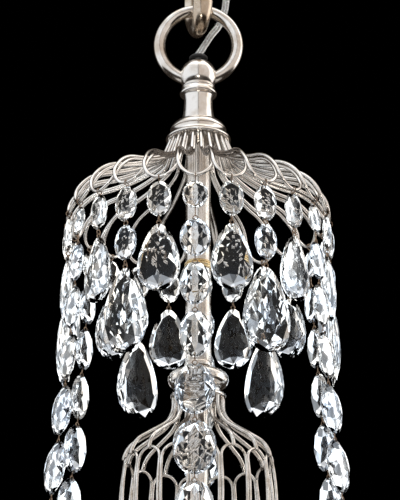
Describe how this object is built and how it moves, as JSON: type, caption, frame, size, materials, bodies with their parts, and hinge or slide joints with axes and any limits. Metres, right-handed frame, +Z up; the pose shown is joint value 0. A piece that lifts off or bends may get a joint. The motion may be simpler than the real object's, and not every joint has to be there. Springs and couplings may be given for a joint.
{
  "type": "small crystal chandelier",
  "caption": "Small ceiling chandelier with a silver-plated wire crown and cage, oval and pear crystal drops, bead strands and a lamp, hung from a ring and chain link.",
  "frame": {"origin": "the seat inside the top of the chain link's opening, where the light hangs", "axes": "+Z up along the stem; -Y is the front; +X is to the right seen from the front"},
  "size_m": [0.257, 0.2596, 0.6221],
  "materials": {
    "silver_plate": "polished silver plate with a warm, slightly aged tone",
    "aged_silver": "worn plate showing brass through it",
    "brass": "polished brass",
    "clear_cord": "clear soft PVC over tinned copper",
    "black_rubber": "black rubber",
    "holder_black": "black phenolic",
    "lamp_glass": "clear lamp glass",
    "bead_crystal": "cut clear crystal beads on bronze-toned pins",
    "oval_crystal": "cut clear crystal ovals on bronze-toned pins",
    "pear_crystal": "cut clear crystal pear drops on bronze-toned pins"
  },
  "bodies": {
    "link": {"chain_link": "aged_silver"},
    "fixture": {"hanging_ring": "silver_plate", "cord_grommet": "black_rubber", "ball_cap": "silver_plate", "supply_cord": "clear_cord", "neck_spindle": "silver_plate", "crown_collar": "silver_plate", "crown_wirework": "silver_plate", "upper_stem_tube": "silver_plate", "stem_coupling": "brass", "lower_stem_tube": "silver_plate", "bun_knop": "silver_plate", "cage_cap": "silver_plate", "cage_wirework": "silver_plate", "cage_base": "silver_plate", "hoop_frame": "silver_plate", "lamp_holder": "holder_black", "bulb": "lamp_glass"},
    "bead_strand_1": {"bead_strand_1": "bead_crystal"},
    "oval_link_01": {"oval_link_01": "oval_crystal"},
    "pear_drop_01": {"pear_drop_01": "pear_crystal"},
    "oval_link_02": {"oval_link_02": "oval_crystal"},
    "pear_drop_02": {"pear_drop_02": "pear_crystal"},
    "oval_link_03": {"oval_link_03": "oval_crystal"},
    "pear_drop_03": {"pear_drop_03": "pear_crystal"},
    "bead_strand_2": {"bead_strand_2": "bead_crystal"},
    "oval_link_05": {"oval_link_05": "oval_crystal"},
    "pear_drop_05": {"pear_drop_05": "pear_crystal"},
    "oval_link_06": {"oval_link_06": "oval_crystal"},
    "pear_drop_06": {"pear_drop_06": "pear_crystal"},
    "oval_link_07": {"oval_link_07": "oval_crystal"},
    "pear_drop_07": {"pear_drop_07": "pear_crystal"},
    "bead_strand_3": {"bead_strand_3": "bead_crystal"},
    "oval_link_09": {"oval_link_09": "oval_crystal"},
    "pear_drop_09": {"pear_drop_09": "pear_crystal"},
    "oval_link_10": {"oval_link_10": "oval_crystal"},
    "pear_drop_10": {"pear_drop_10": "pear_crystal"},
    "oval_link_11": {"oval_link_11": "oval_crystal"},
    "pear_drop_11": {"pear_drop_11": "pear_crystal"},
    "bead_strand_4": {"bead_strand_4": "bead_crystal"},
    "oval_link_13": {"oval_link_13": "oval_crystal"},
    "pear_drop_13": {"pear_drop_13": "pear_crystal"},
    "oval_link_14": {"oval_link_14": "oval_crystal"},
    "pear_drop_14": {"pear_drop_14": "pear_crystal"},
    "oval_link_15": {"oval_link_15": "oval_crystal"},
    "pear_drop_15": {"pear_drop_15": "pear_crystal"},
    "bead_strand_5": {"bead_strand_5": "bead_crystal"},
    "oval_link_17": {"oval_link_17": "oval_crystal"},
    "pear_drop_17": {"pear_drop_17": "pear_crystal"},
    "oval_link_18": {"oval_link_18": "oval_crystal"},
    "pear_drop_18": {"pear_drop_18": "pear_crystal"},
    "oval_link_19": {"oval_link_19": "oval_crystal"},
    "pear_drop_19": {"pear_drop_19": "pear_crystal"},
    "bead_strand_6": {"bead_strand_6": "bead_crystal"},
    "oval_link_21": {"oval_link_21": "oval_crystal"},
    "pear_drop_21": {"pear_drop_21": "pear_crystal"},
    "oval_link_22": {"oval_link_22": "oval_crystal"},
    "pear_drop_22": {"pear_drop_22": "pear_crystal"},
    "oval_link_23": {"oval_link_23": "oval_crystal"},
    "pear_drop_23": {"pear_drop_23": "pear_crystal"}
  },
  "joints": [
    {"name": "ring_swing", "type": "hinge", "parent": "link", "child": "fixture", "pos_m": [0, 0, -0.0314], "axis": [1, 0, 0], "range_deg": [-15, 15]},
    {"name": "strand_1_twist", "type": "hinge", "parent": "fixture", "child": "bead_strand_1", "pos_m": [-0.00212, -0.10099, -0.21564], "axis": [-0.0018, -0.0856, -0.9963], "range_deg": [-15, 15]},
    {"name": "drop_01_swing", "type": "hinge", "parent": "fixture", "child": "oval_link_01", "pos_m": [0.02409, -0.0981, -0.21564], "axis": [-0.9711, -0.2385, 0], "range_deg": [-4, 25]},
    {"name": "pear_01_swing", "type": "hinge", "parent": "oval_link_01", "child": "pear_drop_01", "pos_m": [0.02409, -0.0981, -0.24934], "axis": [-0.9711, -0.2385, 0], "range_deg": [-4, 20]},
    {"name": "drop_02_swing", "type": "hinge", "parent": "fixture", "child": "oval_link_02", "pos_m": [0.04866, -0.08852, -0.21564], "axis": [-0.8763, -0.4818, 0], "range_deg": [-4, 25]},
    {"name": "pear_02_swing", "type": "hinge", "parent": "oval_link_02", "child": "pear_drop_02", "pos_m": [0.04866, -0.08852, -0.27914], "axis": [-0.8763, -0.4818, 0], "range_deg": [-4, 20]},
    {"name": "drop_03_swing", "type": "hinge", "parent": "fixture", "child": "oval_link_03", "pos_m": [0.06992, -0.07291, -0.21564], "axis": [-0.7218, -0.6921, 0], "range_deg": [-4, 25]},
    {"name": "pear_03_swing", "type": "hinge", "parent": "oval_link_03", "child": "pear_drop_03", "pos_m": [0.06992, -0.07291, -0.24934], "axis": [-0.7218, -0.6921, 0], "range_deg": [-4, 20]},
    {"name": "strand_2_twist", "type": "hinge", "parent": "fixture", "child": "bead_strand_2", "pos_m": [0.0864, -0.05233, -0.21564], "axis": [0.0732, -0.0444, -0.9963], "range_deg": [-15, 15]},
    {"name": "drop_05_swing", "type": "hinge", "parent": "fixture", "child": "oval_link_05", "pos_m": [0.097, -0.02818, -0.21564], "axis": [-0.279, -0.9603, 0], "range_deg": [-4, 25]},
    {"name": "pear_05_swing", "type": "hinge", "parent": "oval_link_05", "child": "pear_drop_05", "pos_m": [0.097, -0.02818, -0.24934], "axis": [-0.279, -0.9603, 0], "range_deg": [-4, 20]},
    {"name": "drop_06_swing", "type": "hinge", "parent": "fixture", "child": "oval_link_06", "pos_m": [0.10099, -0.00212, -0.21564], "axis": [-0.0209, -0.9998, 0], "range_deg": [-4, 25]},
    {"name": "pear_06_swing", "type": "hinge", "parent": "oval_link_06", "child": "pear_drop_06", "pos_m": [0.10099, -0.00212, -0.27914], "axis": [-0.0209, -0.9998, 0], "range_deg": [-4, 20]},
    {"name": "drop_07_swing", "type": "hinge", "parent": "fixture", "child": "oval_link_07", "pos_m": [0.0981, 0.02409, -0.21564], "axis": [0.2385, -0.9711, 0], "range_deg": [-4, 25]},
    {"name": "pear_07_swing", "type": "hinge", "parent": "oval_link_07", "child": "pear_drop_07", "pos_m": [0.0981, 0.02409, -0.24934], "axis": [0.2385, -0.9711, 0], "range_deg": [-4, 20]},
    {"name": "strand_3_twist", "type": "hinge", "parent": "fixture", "child": "bead_strand_3", "pos_m": [0.08852, 0.04866, -0.21564], "axis": [0.075, 0.0413, -0.9963], "range_deg": [-15, 15]},
    {"name": "drop_09_swing", "type": "hinge", "parent": "fixture", "child": "oval_link_09", "pos_m": [0.07291, 0.06992, -0.21564], "axis": [0.6921, -0.7218, 0], "range_deg": [-4, 25]},
    {"name": "pear_09_swing", "type": "hinge", "parent": "oval_link_09", "child": "pear_drop_09", "pos_m": [0.07291, 0.06992, -0.24934], "axis": [0.6921, -0.7218, 0], "range_deg": [-4, 20]},
    {"name": "drop_10_swing", "type": "hinge", "parent": "fixture", "child": "oval_link_10", "pos_m": [0.05233, 0.0864, -0.21564], "axis": [0.8554, -0.518, 0], "range_deg": [-4, 25]},
    {"name": "pear_10_swing", "type": "hinge", "parent": "oval_link_10", "child": "pear_drop_10", "pos_m": [0.05233, 0.0864, -0.27914], "axis": [0.8554, -0.518, 0], "range_deg": [-4, 20]},
    {"name": "drop_11_swing", "type": "hinge", "parent": "fixture", "child": "oval_link_11", "pos_m": [0.02818, 0.097, -0.21564], "axis": [0.9603, -0.279, 0], "range_deg": [-4, 25]},
    {"name": "pear_11_swing", "type": "hinge", "parent": "oval_link_11", "child": "pear_drop_11", "pos_m": [0.02818, 0.097, -0.24934], "axis": [0.9603, -0.279, 0], "range_deg": [-4, 20]},
    {"name": "strand_4_twist", "type": "hinge", "parent": "fixture", "child": "bead_strand_4", "pos_m": [0.00212, 0.10099, -0.21564], "axis": [0.0018, 0.0856, -0.9963], "range_deg": [-15, 15]},
    {"name": "drop_13_swing", "type": "hinge", "parent": "fixture", "child": "oval_link_13", "pos_m": [-0.02409, 0.0981, -0.21564], "axis": [0.9711, 0.2385, 0], "range_deg": [-4, 25]},
    {"name": "pear_13_swing", "type": "hinge", "parent": "oval_link_13", "child": "pear_drop_13", "pos_m": [-0.02409, 0.0981, -0.24934], "axis": [0.9711, 0.2385, 0], "range_deg": [-4, 20]},
    {"name": "drop_14_swing", "type": "hinge", "parent": "fixture", "child": "oval_link_14", "pos_m": [-0.04866, 0.08852, -0.21564], "axis": [0.8763, 0.4818, 0], "range_deg": [-4, 25]},
    {"name": "pear_14_swing", "type": "hinge", "parent": "oval_link_14", "child": "pear_drop_14", "pos_m": [-0.04866, 0.08852, -0.27914], "axis": [0.8763, 0.4818, 0], "range_deg": [-4, 20]},
    {"name": "drop_15_swing", "type": "hinge", "parent": "fixture", "child": "oval_link_15", "pos_m": [-0.06992, 0.07291, -0.21564], "axis": [0.7218, 0.6921, 0], "range_deg": [-4, 25]},
    {"name": "pear_15_swing", "type": "hinge", "parent": "oval_link_15", "child": "pear_drop_15", "pos_m": [-0.06992, 0.07291, -0.24934], "axis": [0.7218, 0.6921, 0], "range_deg": [-4, 20]},
    {"name": "strand_5_twist", "type": "hinge", "parent": "fixture", "child": "bead_strand_5", "pos_m": [-0.0864, 0.05233, -0.21564], "axis": [-0.0732, 0.0444, -0.9963], "range_deg": [-15, 15]},
    {"name": "drop_17_swing", "type": "hinge", "parent": "fixture", "child": "oval_link_17", "pos_m": [-0.097, 0.02818, -0.21564], "axis": [0.279, 0.9603, 0], "range_deg": [-4, 25]},
    {"name": "pear_17_swing", "type": "hinge", "parent": "oval_link_17", "child": "pear_drop_17", "pos_m": [-0.097, 0.02818, -0.24934], "axis": [0.279, 0.9603, 0], "range_deg": [-4, 20]},
    {"name": "drop_18_swing", "type": "hinge", "parent": "fixture", "child": "oval_link_18", "pos_m": [-0.10099, 0.00212, -0.21564], "axis": [0.0209, 0.9998, 0], "range_deg": [-4, 25]},
    {"name": "pear_18_swing", "type": "hinge", "parent": "oval_link_18", "child": "pear_drop_18", "pos_m": [-0.10099, 0.00212, -0.27914], "axis": [0.0209, 0.9998, 0], "range_deg": [-4, 20]},
    {"name": "drop_19_swing", "type": "hinge", "parent": "fixture", "child": "oval_link_19", "pos_m": [-0.0981, -0.02409, -0.21564], "axis": [-0.2385, 0.9711, 0], "range_deg": [-4, 25]},
    {"name": "pear_19_swing", "type": "hinge", "parent": "oval_link_19", "child": "pear_drop_19", "pos_m": [-0.0981, -0.02409, -0.24934], "axis": [-0.2385, 0.9711, 0], "range_deg": [-4, 20]},
    {"name": "strand_6_twist", "type": "hinge", "parent": "fixture", "child": "bead_strand_6", "pos_m": [-0.08852, -0.04866, -0.21564], "axis": [-0.075, -0.0413, -0.9963], "range_deg": [-15, 15]},
    {"name": "drop_21_swing", "type": "hinge", "parent": "fixture", "child": "oval_link_21", "pos_m": [-0.07291, -0.06992, -0.21564], "axis": [-0.6921, 0.7218, 0], "range_deg": [-4, 25]},
    {"name": "pear_21_swing", "type": "hinge", "parent": "oval_link_21", "child": "pear_drop_21", "pos_m": [-0.07291, -0.06992, -0.24934], "axis": [-0.6921, 0.7218, 0], "range_deg": [-4, 20]},
    {"name": "drop_22_swing", "type": "hinge", "parent": "fixture", "child": "oval_link_22", "pos_m": [-0.05233, -0.0864, -0.21564], "axis": [-0.8554, 0.518, 0], "range_deg": [-4, 25]},
    {"name": "pear_22_swing", "type": "hinge", "parent": "oval_link_22", "child": "pear_drop_22", "pos_m": [-0.05233, -0.0864, -0.27914], "axis": [-0.8554, 0.518, 0], "range_deg": [-4, 20]},
    {"name": "drop_23_swing", "type": "hinge", "parent": "fixture", "child": "oval_link_23", "pos_m": [-0.02818, -0.097, -0.21564], "axis": [-0.9603, 0.279, 0], "range_deg": [-4, 25]},
    {"name": "pear_23_swing", "type": "hinge", "parent": "oval_link_23", "child": "pear_drop_23", "pos_m": [-0.02818, -0.097, -0.24934], "axis": [-0.9603, 0.279, 0], "range_deg": [-4, 20]}
  ]
}
